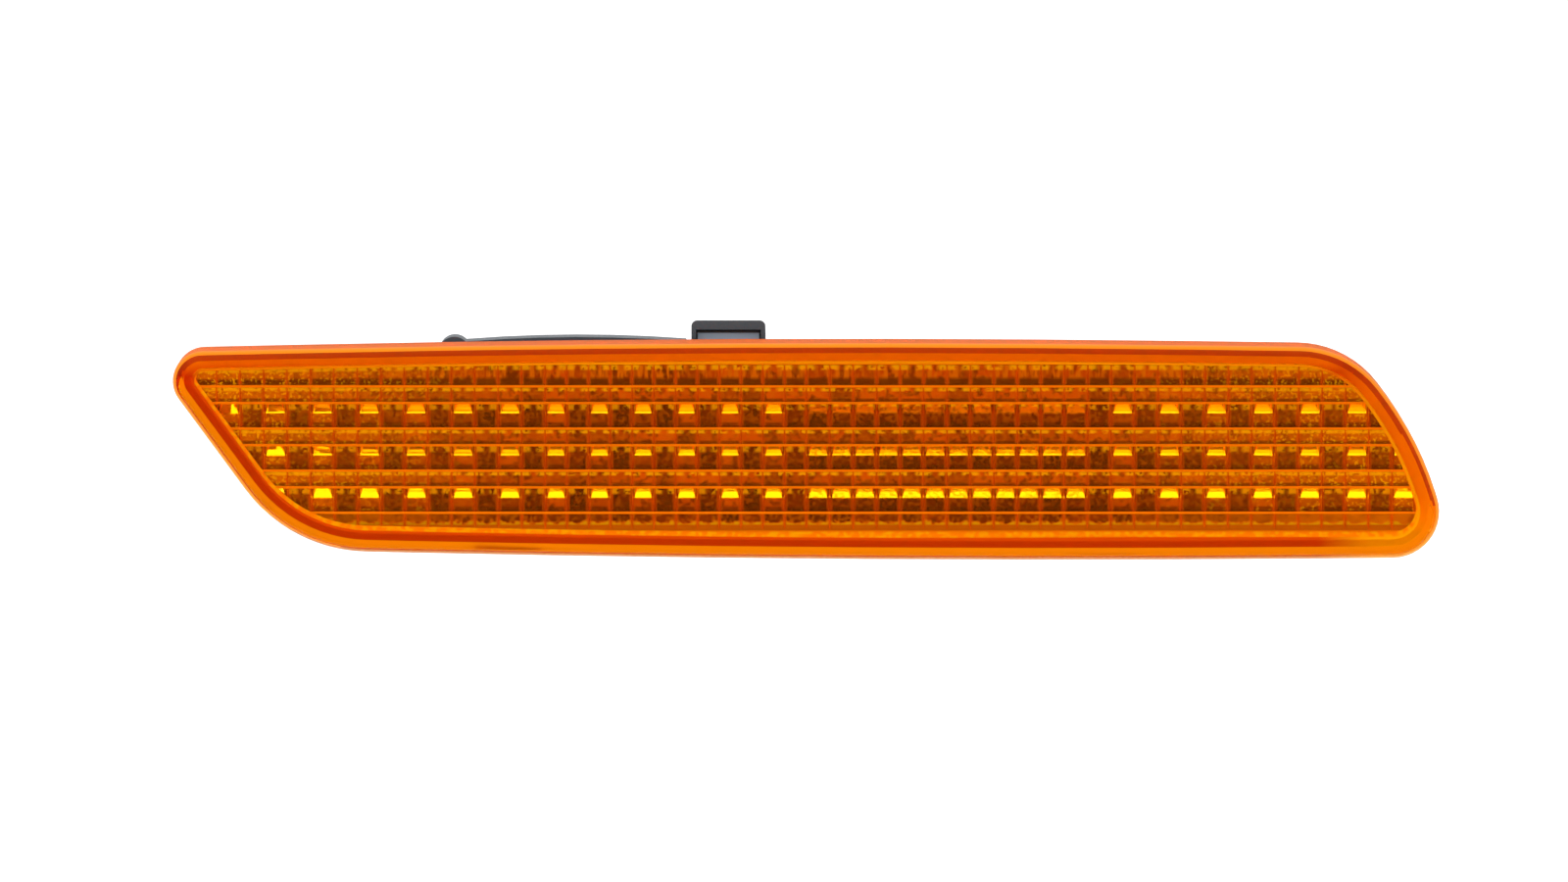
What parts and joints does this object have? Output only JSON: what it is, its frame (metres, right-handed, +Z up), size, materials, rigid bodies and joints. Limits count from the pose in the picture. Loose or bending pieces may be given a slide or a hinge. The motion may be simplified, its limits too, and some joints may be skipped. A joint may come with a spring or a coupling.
{
  "type": "side light",
  "caption": "Long slanted amber bumper side light: lens with rows of moulded prisms on a black housing with snap latch, reflector and wedge bulb in a twist-in holder.",
  "frame": {"origin": "middle of the lens outline on the plane of the flange's rear face, which lies on the bumper skin", "axes": "+X along the length towards the end with the large upper corner, +Y out of the rear of the lamp, +Z up; the lens faces -Y"},
  "size_m": [0.1901, 0.0548, 0.0351],
  "materials": {
    "lens": "clear amber acrylic, polished outside",
    "housing": "black moulded plastic, fine grain",
    "reflector": "plastic with a bright metal film",
    "bulb_holder": "black moulded plastic",
    "holder_seal": "soft rubber",
    "contacts": "tinned brass strip",
    "bulb_glass": "clear",
    "filament": "drawn wire",
    "wires": "drawn wire"
  },
  "bodies": {
    "lamp_body": {"lens": "lens", "housing": "housing", "reflector": "reflector"},
    "bulb_unit": {"bulb_holder": "bulb_holder", "holder_seal": "holder_seal", "contact_live": "contacts", "contact_earth": "contacts", "bulb_glass": "bulb_glass", "bulb_filament": "filament", "bulb_wire_live": "wires", "bulb_wire_earth": "wires"}
  },
  "joints": [
    {"name": "holder_twist", "type": "hinge", "parent": "lamp_body", "child": "bulb_unit", "pos_m": [0.02112, 0.025, 0], "axis": [0, -1, 0], "range_deg": [0, 45]}
  ]
}
